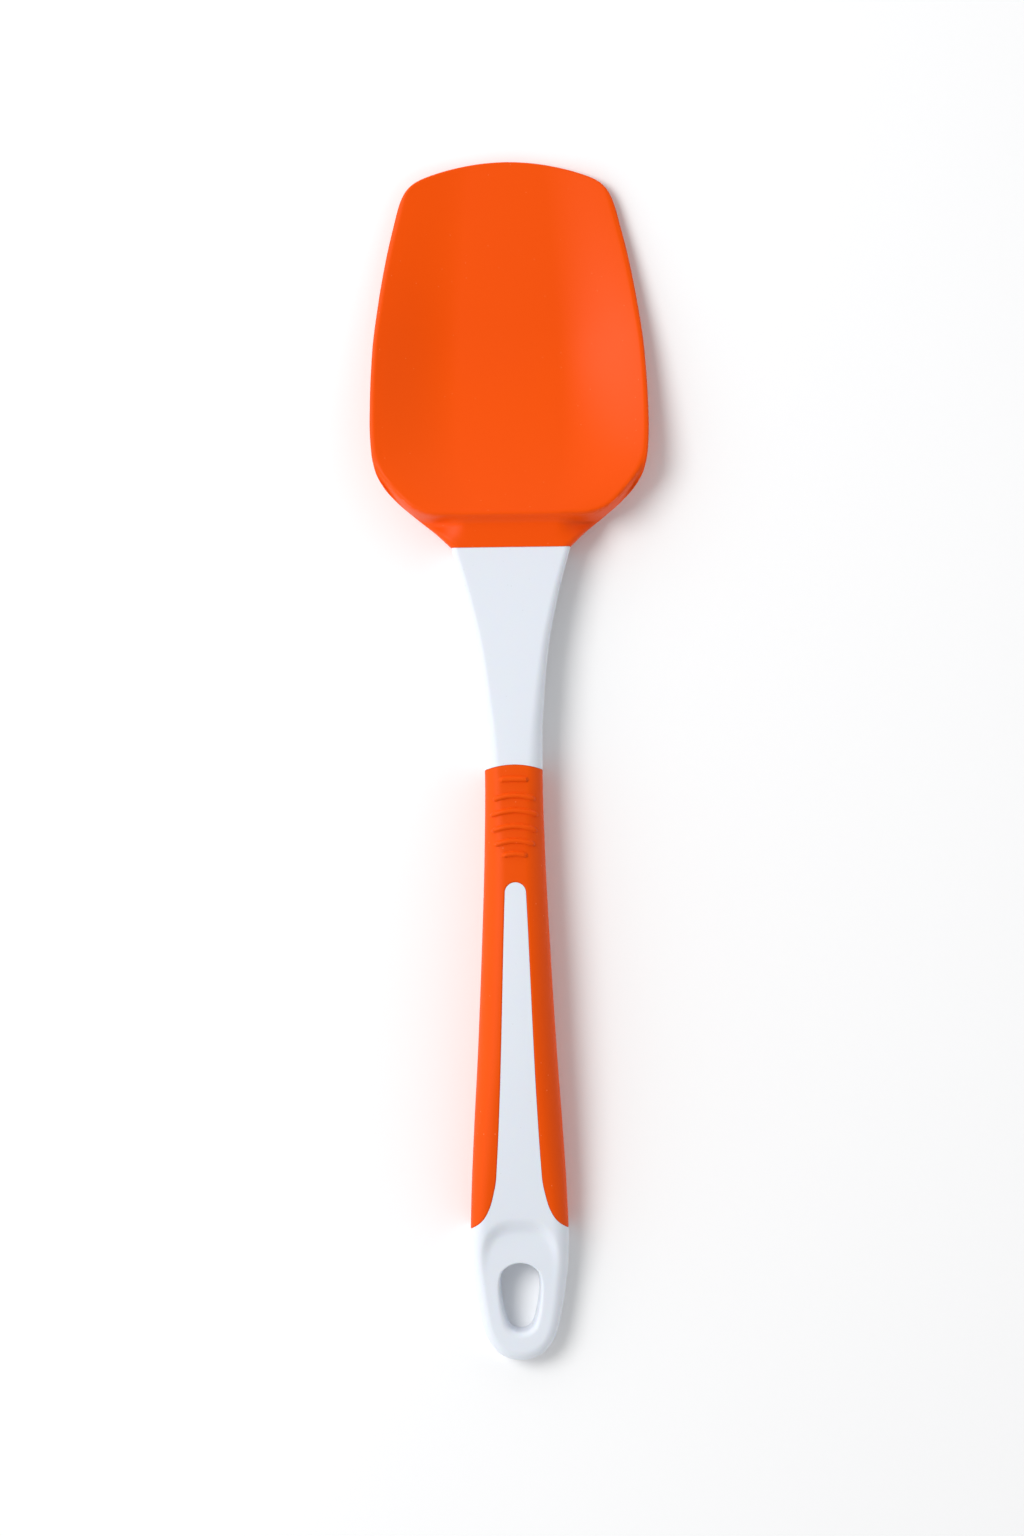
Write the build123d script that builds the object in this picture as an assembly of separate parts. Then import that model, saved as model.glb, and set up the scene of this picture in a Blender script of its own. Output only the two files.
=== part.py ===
from build123d import *
import math
import os

# A silicone scoop spatula, lying face up. Millimetres.
# +Y runs from the hanging eye to the scoop's tip, +Z is up, and the origin is at the middle of the base.
# A "station" is a distance along the tool from the tail's end; along() turns it into a Y coordinate.

LENGTH = 280.0
JOINT = 189.6            # station where the silicone meets the white neck
SLICE = 200.0            # half-size of the blocks that cut the solids
SPARE = 5.0              # how far a block that gets cut stands past the finished shape

# Scoop head
SCOOP_HALF_WIDTH = 32.5
CROWN_RADIUS = 53.0      # of the tip's long arc in plan
CROWN_REACH = 18.45      # half-width where that arc ends
SIDE_END_TANGENT = (-0.35, -1)  # direction in which the head's outline meets the neck
SIDE_END_PULL = 0.4      # how strongly the outline follows that direction
REAR_RIM = 197.2         # station of the rear rim
TIP_RIM_HEIGHT = 3.0
REAR_RIM_HEIGHT = 11.3
RIM_POWER = 1.6          # how the rim climbs from the tip to the rear
RIM_STEPS = 12
COLLAR_TOP = 9.4
COLLAR_FRONT = 193.6     # station where the collar's flat top meets the ramp to the rear rim
FLOOR_TOP = 1.9
FLOOR_POWER = 1.8
FLOOR_RISE_FROM = 240.0  # behind this station the floor climbs to the rear rim
BACK_RISE_FROM = 236.0   # behind this station the back climbs to the neck's underside
BACK_POWER = 1.3
NECK_UNDERSIDE = 2.2
NOSE_RISE_FROM = 266.0   # past this station the back lifts towards the tip
NOSE_RISE = 1.1
WALL_POWER = 3.4         # how sharply the scoop's sides turn up
WALL_LIMIT = 1.35        # the walls stop climbing this far out, as a share of the half-width
INNER_LIP = 1.0          # flat lip inside the outline
OUTER_SPREAD = 1.9       # how far outside the outline the back would reach the rim's height
SHEET_STATIONS = (186, 192, 198, 204, 210, 216, 222, 228, 234, 240, 248, 256, 264, 272, 278, 284)
SHEET_HALF_WIDTH = 40.0
SHEET_STEPS = 12
SHEET_FIRST_STEP = 0.1    # the outline's width is first measured this far past the joint
SHEET_LAST_WIDTH = 271.0  # past this station the tip narrows, and the sheets keep their width

# Blade core: the blade in the scoop's pocket, and the anchor moulded into the neck
# each end is (station, width, underside, top)
BLADE_ROOT = (JOINT, 19.0, 3.5, 7.6)
BLADE_NOSE = (214.0, 14.0, 3.4, 4.6)
ANCHOR_ROOT = (JOINT, 13.0, 3.7, 7.4)
ANCHOR_END = (155.0, 6.5, 4.7, 8.0)
BAR_EDGE_RADIUS = 0.5
BLADE_HEEL = 0.4         # how far the blade's root reaches back into the neck
POCKET_GAP = 0.15
POCKET_SPARE = 0.5       # room past the blade's nose
ANCHOR_HOLES = ((181.0, 1.8), (169.0, 1.4))  # station, radius

# Handle: station, half-width, underside, top, corner radius
HANDLE_SECTIONS = (
    (9.1, 9.1, -0.2, 7.1, 2.6),
    (14.0, 10.05, -0.2, 7.3, 2.7),
    (23.0, 11.2, -0.2, 8.4, 3.1),
    (31.0, 11.4, 0.0, 9.6, 3.6),
    (40.0, 11.1, 0.3, 10.8, 4.2),
    (54.0, 10.35, 0.6, 12.3, 4.9),
    (72.2, 9.2, 1.0, 13.5, 5.3),
    (95.6, 8.0, 1.3, 13.7, 5.4),
    (119.0, 7.05, 1.7, 12.9, 4.8),
    (136.5, 6.75, 2.2, 11.8, 3.9),
    (154.0, 7.25, 2.4, 10.8, 3.1),
    (165.7, 8.4, 2.3, 10.2, 2.7),
    (177.4, 10.65, 2.2, 9.7, 2.4),
    (JOINT, 13.9, NECK_UNDERSIDE, COLLAR_TOP, 2.2),
)

# Hanging eye and the thumb dish around it
EYE_WIDE = (17.5, 5.4)    # station, radius
EYE_NARROW = (10.4, 3.7)
DISH_STATION = 15.5
DISH_SIZE = (10.4, 19.6, 5.5)  # half-sizes of the ellipsoid that hollows the plate
DISH_HEIGHT = 12.3             # height of its middle

# Grip
GRIP_FRONT = 139.0
GRIP_ARCH = 4.0           # how far the front edge falls back at the cutter's sides
GRIP_SIDE = 13.0
GRIP_THICKNESS = 1.7
LEAST_CORNER = 0.8        # the spine's sections keep at least this corner radius
WINDOW_TOP = 111.7
WINDOW_TOP_RADIUS = 2.45
WINDOW_FLARE_START = (43.0, 5.3)   # station, half-width
WINDOW_FLARE_MIDDLE = (35.2, 7.2)
WINDOW_FLARE_END = (30.4, 12.6)
WINDOW_FLARE_TANGENT = (1, -0.25)  # direction in which the flare leaves the sides
GRIP_FOOT = 26.0
RIB_STATIONS = (135.6, 131.8, 128.3, 124.7, 121.3, 118.3)
RIB_LENGTHS = (6.5, 9.6, 10.8, 10.3, 9.1, 5.6)
RIB_RISES = (0.1, 0.9, 1.1, 1.1, 0.9, 0.4)
RIB_WIDTH = 0.9
RIB_HEIGHT = 0.4
RIB_BASE = 7.0            # height that the ribs are raised from, inside the grip's top


def along(station):
    return station - LENGTH / 2


def blend(value_a, value_b, share):
    return value_a + (value_b - value_a) * share


# ---------------------------------------------------------------- scoop head

def rim_height(station):
    share = (LENGTH - station) / (LENGTH - REAR_RIM)
    return blend(TIP_RIM_HEIGHT, REAR_RIM_HEIGHT, max(share, 0.0) ** RIM_POWER)


def floor_height(station):
    share = max(FLOOR_RISE_FROM - station, 0.0) / (FLOOR_RISE_FROM - REAR_RIM)
    return blend(FLOOR_TOP, REAR_RIM_HEIGHT, share ** FLOOR_POWER)


def back_height(station):
    share = max(BACK_RISE_FROM - station, 0.0) / (BACK_RISE_FROM - JOINT)
    nose = max(station - NOSE_RISE_FROM, 0.0) / (LENGTH - NOSE_RISE_FROM)
    return NECK_UNDERSIDE * share ** BACK_POWER + NOSE_RISE * nose ** 2


def outline_side():
    """The right side of the head's plan outline, from the top corner down to the joint."""
    return [
        (25.85, along(267.4)), (28.15, along(258.0)), (30.25, along(246.8)), (31.8, along(235.6)),
        (SCOOP_HALF_WIDTH, along(219.0)), (32.2, along(211.3)), (30.6, along(205.2)),
        (26.2, along(200.0)), (19.3, along(194.4)), (13.9, along(JOINT)),
    ]


def head_outline():
    drop = CROWN_RADIUS - math.sqrt(CROWN_RADIUS ** 2 - CROWN_REACH ** 2)
    corner_start = (CROWN_REACH, along(LENGTH) - drop)
    side_points = outline_side()
    top = ThreePointArc((-corner_start[0], corner_start[1]), (0, along(LENGTH)), corner_start)
    corner = TangentArc(top @ 1, side_points[0], tangent=top % 1)
    side = Spline(*side_points, tangents=[corner % 1, SIDE_END_TANGENT],
                  tangent_scalars=[1, SIDE_END_PULL])
    base = Line(side @ 1, (0, along(JOINT)))
    half = [corner, side, base]
    mirrored = [edge.mirror(Plane.YZ) for edge in half]
    return make_face([top] + half + mirrored)


def outline_half_width(face, station):
    ray = Line((0, along(station)), (SLICE, along(station)))
    inside = face.intersect(ray)
    return max(edge.bounding_box().max.X for edge in inside)


def height_surface(outline, lowest, spread):
    """A surface across the scoop: `lowest` along the middle, and the rim's height at the outline + spread."""
    rows = []
    for station in SHEET_STATIONS:
        measured_at = min(max(station, JOINT + SHEET_FIRST_STEP), SHEET_LAST_WIDTH)
        half_width = outline_half_width(outline, measured_at) + spread
        middle = lowest(station)
        wall = max(rim_height(station) - middle, 0.0)
        row = []
        for step in range(-SHEET_STEPS, SHEET_STEPS + 1):
            x = SHEET_HALF_WIDTH * step / SHEET_STEPS
            rise = min(abs(x) / half_width, WALL_LIMIT) ** WALL_POWER
            row.append((x, along(station), middle + wall * rise))
        rows.append(row)
    return Face.make_surface_from_array_of_points(rows, tol=0.02)


def side_profile(points):
    """A block across the tool from a side outline of (station, height) points."""
    outline = Polyline(*[(along(station), height) for station, height in points], close=True)
    return extrude(Plane.YZ * make_face(outline), amount=SLICE / 2, both=True)


def upright(station, height):
    """A plane across the tool at a station, facing the tail, with its middle at a height."""
    return Plane(origin=(0, along(station), height), x_dir=(1, 0, 0), z_dir=(0, -1, 0))


def taper(root, nose, station):
    """The bar between two ends, root and nose, as (station, width, underside, top) at a station."""
    share = (station - root[0]) / (nose[0] - root[0])
    return [blend(value_a, value_b, share) for value_a, value_b in zip(root, nose)]


def tapered_bar(root, nose, first, last, gap=0.0):
    """A flat tapering bar with rounded edges from station first to station last, grown by gap all round."""
    sections = []
    for reach in (first, last):
        station, width, underside, top = taper(root, nose, reach)
        shape = RectangleRounded(width + 2 * gap, top - underside + 2 * gap, BAR_EDGE_RADIUS + gap)
        sections.append(upright(station, (underside + top) / 2) * shape)
    return loft(sections)


def blade_pocket():
    return tapered_bar(BLADE_ROOT, BLADE_NOSE, JOINT - 1, BLADE_NOSE[0] + POCKET_SPARE, POCKET_GAP)


def make_blade_core():
    core = tapered_bar(BLADE_ROOT, BLADE_NOSE, JOINT - BLADE_HEEL, BLADE_NOSE[0])
    core += tapered_bar(ANCHOR_ROOT, ANCHOR_END, JOINT, ANCHOR_END[0])
    for station, radius in ANCHOR_HOLES:
        core -= Pos(0, along(station), ANCHOR_ROOT[3]) * Cylinder(radius, SLICE)
    return core


def make_scoop_head():
    outline = head_outline()
    body = extrude(outline, amount=REAR_RIM_HEIGHT + SPARE)
    inner = height_surface(outline, floor_height, -INNER_LIP)
    outer = height_surface(outline, back_height, OUTER_SPREAD)
    body -= Solid.extrude(inner, Vector(0, 0, SLICE))
    body -= Solid.extrude(outer, Vector(0, 0, -SLICE))
    top = [(JOINT - SPARE, COLLAR_TOP), (COLLAR_FRONT, COLLAR_TOP), (REAR_RIM, REAR_RIM_HEIGHT)]
    for step in range(1, RIM_STEPS + 1):
        station = blend(REAR_RIM, LENGTH + SPARE, step / RIM_STEPS)
        top.append((station, rim_height(station)))
    body -= side_profile(top + [(LENGTH + SPARE, SLICE), (JOINT - SPARE, SLICE)])
    return body - blade_pocket()


# -------------------------------------------------------------------- handle

def section(station, half_width, underside, top, radius, shrink):
    width = 2 * (half_width - shrink)
    height = top - underside - 2 * shrink
    corner = max(radius - shrink, LEAST_CORNER)
    return upright(station, (underside + top) / 2) * RectangleRounded(width, height, corner)


def handle_envelope(shrink=0.0):
    """The handle's whole outside, with the grip on, or that shape `shrink` smaller all round."""
    return loft([section(*values, shrink) for values in HANDLE_SECTIONS])


def round_tail():
    """The half-round end of the tail plate, turned about the end section's middle."""
    station, half_width, underside, top, radius = HANDLE_SECTIONS[0]
    right_side = Pos(SLICE / 2, 0) * Rectangle(SLICE, SLICE)
    half = RectangleRounded(2 * half_width, top - underside, radius) & right_side
    half = upright(station, (underside + top) / 2) * half
    return revolve(half, Axis((0, along(station), 0), (0, 0, 1)), -180)


def eye_cutter():
    wide, narrow = [Pos(0, along(station)) * Circle(radius) for station, radius in (EYE_WIDE, EYE_NARROW)]
    return extrude(make_hull((wide + narrow).edges()), amount=SLICE / 2, both=True)


def thumb_dish():
    return Pos(0, along(DISH_STATION), DISH_HEIGHT) * scale(Sphere(1), by=DISH_SIZE)


def window_plan():
    """Where the white shows: a round-topped wedge that flares out to both sides at the tail."""
    flare_station, flare_half = WINDOW_FLARE_START
    middle_station, middle_half = WINDOW_FLARE_MIDDLE
    end_station, end_half = WINDOW_FLARE_END
    shoulder = WINDOW_TOP - WINDOW_TOP_RADIUS
    head = ThreePointArc((-WINDOW_TOP_RADIUS, along(shoulder)), (0, along(WINDOW_TOP)),
                         (WINDOW_TOP_RADIUS, along(shoulder)))
    side = Line(head @ 1, (flare_half, along(flare_station)))
    flare = Spline(side @ 1, (middle_half, along(middle_station)), (end_half, along(end_station)),
                   tangents=[side % 1, WINDOW_FLARE_TANGENT])
    foot_y = along(GRIP_FOOT - SPARE)
    foot = Polyline(flare @ 1, (end_half, foot_y), (0, foot_y))
    half = [side, flare] + foot.edges()
    mirrored = [edge.mirror(Plane.YZ) for edge in half]
    return make_face([head] + half + mirrored)


def grip_plan():
    front = ThreePointArc((-GRIP_SIDE, along(GRIP_FRONT - GRIP_ARCH)), (0, along(GRIP_FRONT)),
                          (GRIP_SIDE, along(GRIP_FRONT - GRIP_ARCH)))
    rest = Polyline(front @ 1, (GRIP_SIDE, along(GRIP_FOOT)), (-GRIP_SIDE, along(GRIP_FOOT)), front @ 0)
    return make_face([front] + rest.edges()) - window_plan()


def rib(station, length, rise):
    """One raised thumb rib: an arched bar that stands just proud of the grip's top."""
    middle = along(station)
    ends = middle - rise
    arc = ThreePointArc((-length / 2, ends), (0, middle), (length / 2, ends))
    return extrude(trace(arc, RIB_WIDTH), amount=SLICE)


def make_grip(envelope, spine):
    blank = extrude(grip_plan(), amount=SLICE / 4, both=True)
    grip = (envelope & blank) - spine
    proud = handle_envelope(-RIB_HEIGHT)
    base = Pos(0, 0, RIB_BASE)
    for station, length, rise in zip(RIB_STATIONS, RIB_LENGTHS, RIB_RISES):
        bar = (base * rib(station, length, rise)) & proud
        grip += bar - envelope
    return grip


def make_handle(envelope, grip, core):
    handle = envelope + round_tail()
    handle -= Pos(0, 0, -SLICE / 2) * Box(SLICE * 2, SLICE * 2, SLICE)
    handle -= thumb_dish()
    handle -= eye_cutter()
    handle -= grip
    return handle - core


def main():
    os.makedirs("parts", exist_ok=True)
    envelope = handle_envelope()
    spine = handle_envelope(GRIP_THICKNESS)
    core = make_blade_core()
    grip = make_grip(envelope, spine)
    nodes = {
        "scoop_head": make_scoop_head(),
        "blade_core": core,
        "handle": make_handle(envelope, grip, core),
        "grip": grip,
    }
    for name, shape in nodes.items():
        export_step(shape, f"parts/{name}.step")


main()
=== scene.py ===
"""A silicone scoop spatula lying face up on a pale table: its moulded skins, finishes, light and camera.

Sizes are in millimetres and become metres as each vertex is placed. A "station" is a distance along the
tool from the tail's end, as in the CAD model.
"""

import logging
import math
from dataclasses import dataclass
from enum import Enum
from typing import Callable

import bmesh
import bpy
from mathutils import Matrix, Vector


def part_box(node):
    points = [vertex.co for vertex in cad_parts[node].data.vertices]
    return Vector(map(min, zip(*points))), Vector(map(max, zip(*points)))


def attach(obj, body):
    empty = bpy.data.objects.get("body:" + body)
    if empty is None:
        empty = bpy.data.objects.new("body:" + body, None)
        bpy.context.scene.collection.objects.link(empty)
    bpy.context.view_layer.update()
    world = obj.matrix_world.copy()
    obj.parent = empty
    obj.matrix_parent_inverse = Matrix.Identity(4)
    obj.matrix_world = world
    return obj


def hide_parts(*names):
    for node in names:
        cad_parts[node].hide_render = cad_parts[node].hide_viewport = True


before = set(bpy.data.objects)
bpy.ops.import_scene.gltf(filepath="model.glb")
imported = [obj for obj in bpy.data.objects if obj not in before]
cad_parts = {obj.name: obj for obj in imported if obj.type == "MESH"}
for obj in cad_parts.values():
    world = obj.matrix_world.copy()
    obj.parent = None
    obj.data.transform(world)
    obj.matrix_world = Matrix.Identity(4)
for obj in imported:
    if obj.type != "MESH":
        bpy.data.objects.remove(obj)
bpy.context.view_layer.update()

MM = 0.001
SHARP = math.radians(40.0)
TOUCHING = 1e-7
TAIL_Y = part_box("handle")[0].y / MM
JOINT = (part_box("handle")[1].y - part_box("handle")[0].y) / MM
LENGTH = (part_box("scoop_head")[1].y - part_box("handle")[0].y) / MM

logging.basicConfig(level=logging.INFO, format="%(message)s")
LOG = logging.getLogger("scoop_spatula")

Placer = Callable[[int, int], Vector]


# ------------------------------------------------------------------------------------------- arithmetic

def blend(value_a: float, value_b: float, share: float) -> float:
    """Straight-line value between two others."""
    return value_a + (value_b - value_a) * share


def ease(share: float) -> float:
    """Smooth 0 to 1 step of a share that may run past both ends."""
    share = min(max(share, 0.0), 1.0)
    return share * share * (3.0 - 2.0 * share)


def soft_min(value_a: float, value_b: float, width: float) -> float:
    """The lower of two values, rounded over where they cross.

    Args:
        value_a: one height.
        value_b: the other height.
        width: how far from the crossing the rounding starts.

    Returns:
        The rounded minimum.
    """
    share = max(width - abs(value_a - value_b), 0.0) / width
    return min(value_a, value_b) - share * share * width / 4.0


def soft_max(value_a: float, value_b: float, width: float) -> float:
    """The higher of two values, rounded over where they cross."""
    return -soft_min(-value_a, -value_b, width)


def edge_drop(distance: float, radius: float) -> float:
    """How far a surface falls at a distance inside an edge that is rounded to a radius."""
    if distance >= radius:
        return 0.0
    inward = radius - max(distance, 0.0)
    return radius - math.sqrt(max(radius * radius - inward * inward, 0.0))


def rounding_steps(radius: float, count: int) -> list[float]:
    """Distances from an edge, bunched up towards it, that draw its rounding with `count` spans."""
    return [radius * (1.0 - math.cos(math.pi / 2 * step / count)) for step in range(count + 1)]


def spread(first: float, last: float, spacing: float) -> list[float]:
    """Evenly spaced values after `first`, up to and with `last`."""
    count = max(round(abs(last - first) / spacing), 1)
    return [blend(first, last, step / count) for step in range(1, count + 1)]


class Profile:
    """A smooth curve through a few (station, value) knots that never overshoots them."""

    def __init__(self, *knots: tuple[float, float]) -> None:
        """Work out the slope at each knot.

        Args:
            knots: the (station, value) pairs, in order of station.
        """
        self.stations = [knot[0] for knot in knots]
        self.values = [knot[1] for knot in knots]
        rises = [
            (self.values[i + 1] - self.values[i]) / (self.stations[i + 1] - self.stations[i])
            for i in range(len(knots) - 1)
        ]
        self.slopes = [rises[0]]
        for before, after in zip(rises, rises[1:]):
            same_way = before * after > 0.0
            self.slopes.append(2.0 * before * after / (before + after) if same_way else 0.0)
        self.slopes.append(rises[-1])

    def __call__(self, station: float) -> float:
        """The value at a station; past either end it runs on in a straight line."""
        if station <= self.stations[0]:
            return self.values[0] + self.slopes[0] * (station - self.stations[0])
        if station >= self.stations[-1]:
            return self.values[-1] + self.slopes[-1] * (station - self.stations[-1])
        span = 0
        while station > self.stations[span + 1]:
            span += 1
        width = self.stations[span + 1] - self.stations[span]
        share = (station - self.stations[span]) / width
        rise = share * share * (3.0 - 2.0 * share)
        out = share * (1.0 - share) ** 2
        back = share * share * (share - 1.0)
        value = blend(self.values[span], self.values[span + 1], rise)
        return value + width * (self.slopes[span] * out + self.slopes[span + 1] * back)


def at(x: float, station: float, z: float) -> Vector:
    """A place in the row frame, in metres, from millimetres across, along and up."""
    return Vector((x, station + TAIL_Y, z)) * MM


# ------------------------------------------------------------------------------------------ mesh making

def shaped_sphere(columns: int, rows: int, place: Placer, open_end: bool = False) -> bmesh.types.BMesh:
    """A UV sphere with each vertex moved to its place: a closed skin with a pole at both ends.

    Args:
        columns: vertices round each ring.
        rows: spans from pole to pole.
        place: gives the place of (column, row); row 0 and row `rows` are the poles.
        open_end: drop the last pole, for a shape whose last ring welds shut on itself.

    Returns:
        The shaped mesh.
    """
    mesh = bmesh.new()
    bmesh.ops.create_uvsphere(mesh, u_segments=columns, v_segments=rows, radius=1.0)
    poles = []
    for vert in mesh.verts:
        turn = math.atan2(vert.co.y, vert.co.x) / math.tau
        height = math.asin(min(max(vert.co.z, -1.0), 1.0)) / math.pi + 0.5
        row = round(height * rows)
        if row == rows:
            poles.append(vert)
        vert.co = place(round(turn * columns) % columns, row)
    if open_end:
        bmesh.ops.delete(mesh, geom=poles, context="VERTS")
    return mesh


def shaped_slab(columns: int, rows: int, place: Callable[[int, int, bool], Vector]) -> bmesh.types.BMesh:
    """A grid given a second layer by extrusion, with each vertex moved to its place.

    Args:
        columns: spans across.
        rows: spans along.
        place: gives the place of (column, row, is_inner_layer).

    Returns:
        The shaped mesh, closed by walls round its border.
    """
    mesh = bmesh.new()
    bmesh.ops.create_grid(mesh, x_segments=columns, y_segments=rows, size=1.0)
    extruded = bmesh.ops.extrude_face_region(mesh, geom=mesh.faces[:])
    inner = [item for item in extruded["geom"] if isinstance(item, bmesh.types.BMVert)]
    bmesh.ops.translate(mesh, verts=inner, vec=Vector((0.0, 0.0, 1.0)))
    for vert in mesh.verts:
        column = round((vert.co.x + 1.0) / 2.0 * columns)
        row = round((vert.co.y + 1.0) / 2.0 * rows)
        vert.co = place(column, row, vert.co.z > 0.5)
    return mesh


def weld(mesh: bmesh.types.BMesh) -> None:
    """Merge coincident vertices and face every skin outwards."""
    bmesh.ops.remove_doubles(mesh, verts=mesh.verts[:], dist=TOUCHING)
    bmesh.ops.dissolve_degenerate(mesh, edges=mesh.edges[:], dist=TOUCHING / 10)
    bmesh.ops.recalc_face_normals(mesh, faces=mesh.faces[:])


def as_object(mesh: bmesh.types.BMesh, name: str) -> bpy.types.Object:
    """Turn a bmesh into a smooth-shaded object in the scene, and free the bmesh.

    Args:
        mesh: the finished shape.
        name: the object's name.

    Returns:
        The new object, at the origin.
    """
    weld(mesh)
    data = bpy.data.meshes.new(name)
    mesh.to_mesh(data)
    mesh.free()
    data.shade_smooth()
    data.set_sharp_from_angle(angle=SHARP)
    piece = bpy.data.objects.new(name, data)
    bpy.context.scene.collection.objects.link(piece)
    return piece


def carve(piece: bpy.types.Object, cutter: bpy.types.Object) -> None:
    """Cut one closed object out of another, and remove the cutter."""
    cut = piece.modifiers.new("carve", "BOOLEAN")
    cut.operation = "DIFFERENCE"
    cut.solver = "EXACT"
    cut.object = cutter
    graph = bpy.context.evaluated_depsgraph_get()
    carved = bpy.data.meshes.new_from_object(piece.evaluated_get(graph))
    piece.modifiers.clear()
    old = piece.data
    piece.data = carved
    carved.name = piece.name
    bpy.data.meshes.remove(old)
    spent = cutter.data
    bpy.data.objects.remove(cutter)
    bpy.data.meshes.remove(spent)


# ---------------------------------------------------------------------------------------- handle outline

@dataclass(frozen=True)
class Section:
    """One cross-section of the handle: a rounded rectangle with slightly crowned faces.

    Attributes:
        half_width: half its width.
        underside: height of the rectangle's lower face.
        top: height of its upper face.
        radius: radius of its corners.
        crown: how far both faces bulge along the middle.
    """

    half_width: float
    underside: float
    top: float
    radius: float
    crown: float

    def runs(self) -> tuple[float, float, float]:
        """Lengths of half the flat face, one corner and one side."""
        flat = self.half_width - self.radius
        return flat, math.pi / 2 * self.radius, self.top - self.underside - 2 * self.radius

    def half_length(self) -> float:
        """Length of the path from the top's middle round one side to the underside's middle."""
        flat, corner, side = self.runs()
        return 2 * (flat + corner) + side

    def reach(self, x: float) -> float:
        """Path length from the top's middle to the point of the top or its corner at x."""
        flat, _, _ = self.runs()
        if x <= flat:
            return x
        return flat + self.radius * math.asin(min((x - flat) / self.radius, 1.0))

    def point(self, distance: float, grow: float = 0.0) -> tuple[float, float]:
        """A point on the section's right half.

        Args:
            distance: path length from the top's middle.
            grow: how far outside the section the point lies, along its normal.

        Returns:
            The point's x and z.
        """
        flat, corner, side = self.runs()
        centre_x = self.half_width - self.radius
        if distance > flat + corner + side / 2:
            x, z, normal_x, normal_z = self._lower(self.half_length() - distance, flat, centre_x)
        else:
            x, z, normal_x, normal_z = self._upper(distance, flat, centre_x)
        middle = (self.top + self.underside) / 2
        lean = (z - middle) / (self.top - middle)
        z += self.crown * (1.0 - (x / self.half_width) ** 2) * lean
        return x + normal_x * grow, z + normal_z * grow

    def _upper(self, distance: float, flat: float, centre_x: float) -> tuple[float, float, float, float]:
        """Point and normal on the top face, its corner or the upper side."""
        if distance <= flat:
            return distance, self.top, 0.0, 1.0
        turn = (distance - flat) / self.radius
        if turn <= math.pi / 2:
            along_x, along_z = math.sin(turn), math.cos(turn)
            return centre_x + self.radius * along_x, self.top - self.radius * (1 - along_z), along_x, along_z
        down = distance - flat - self.radius * math.pi / 2
        return self.half_width, self.top - self.radius - down, 1.0, 0.0

    def _lower(self, distance: float, flat: float, centre_x: float) -> tuple[float, float, float, float]:
        """The same on the lower half, measured back from the underside's middle."""
        x, z, normal_x, normal_z = self._upper(distance, flat, centre_x)
        return x, self.top + self.underside - z, normal_x, -normal_z


class HandleOutline:
    """The handle's whole outside with the grip on, shared by the white moulding and the grip.

    Each profile gives one measure of the cross-section along the tool.
    """

    half_width = Profile(
        (9.1, 9.1), (14.0, 10.05), (18.5, 10.7), (23.0, 11.2), (29.0, 11.42), (40.0, 11.1), (54.0, 10.35),
        (72.2, 9.2), (95.6, 8.0), (119.0, 7.05), (136.5, 6.72), (146.0, 6.78), (154.0, 7.25), (165.7, 8.4),
        (177.4, 10.65), (JOINT, 13.9),
    )
    underside = Profile(
        (9.1, 0.0), (31.0, 0.05), (40.0, 0.3), (54.0, 0.6), (72.2, 1.0), (95.6, 1.3), (119.0, 1.7),
        (136.5, 2.2), (154.0, 2.4), (177.4, 2.25), (JOINT, 2.2),
    )
    top = Profile(
        (9.1, 7.1), (14.0, 7.2), (20.0, 7.6), (25.0, 8.4), (31.0, 9.6), (40.0, 10.8), (54.0, 12.3),
        (72.2, 13.4), (90.0, 13.7), (119.0, 12.9), (136.5, 11.8), (154.0, 10.8), (165.7, 10.2), (177.4, 9.7),
        (JOINT, 9.4),
    )
    radius = Profile(
        (9.1, 2.6), (23.0, 3.1), (31.0, 3.6), (40.0, 4.2), (54.0, 4.9), (80.0, 5.4), (100.0, 5.2),
        (119.0, 4.7), (136.5, 3.6), (154.0, 2.5), (177.4, 1.7), (JOINT, 1.5),
    )
    crown = Profile(
        (9.1, 0.0), (31.0, 0.0), (50.0, 0.25), (100.0, 0.3), (136.0, 0.25), (160.0, 0.06), (JOINT, 0.0),
    )

    def section(self, station: float) -> Section:
        """The cross-section at a station."""
        crown = self.crown(station)
        return Section(
            half_width=self.half_width(station),
            underside=self.underside(station) + crown,
            top=self.top(station) - crown,
            radius=self.radius(station),
            crown=crown,
        )


OUTLINE = HandleOutline()


# ------------------------------------------------------------------------------------------- shader kit

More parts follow.
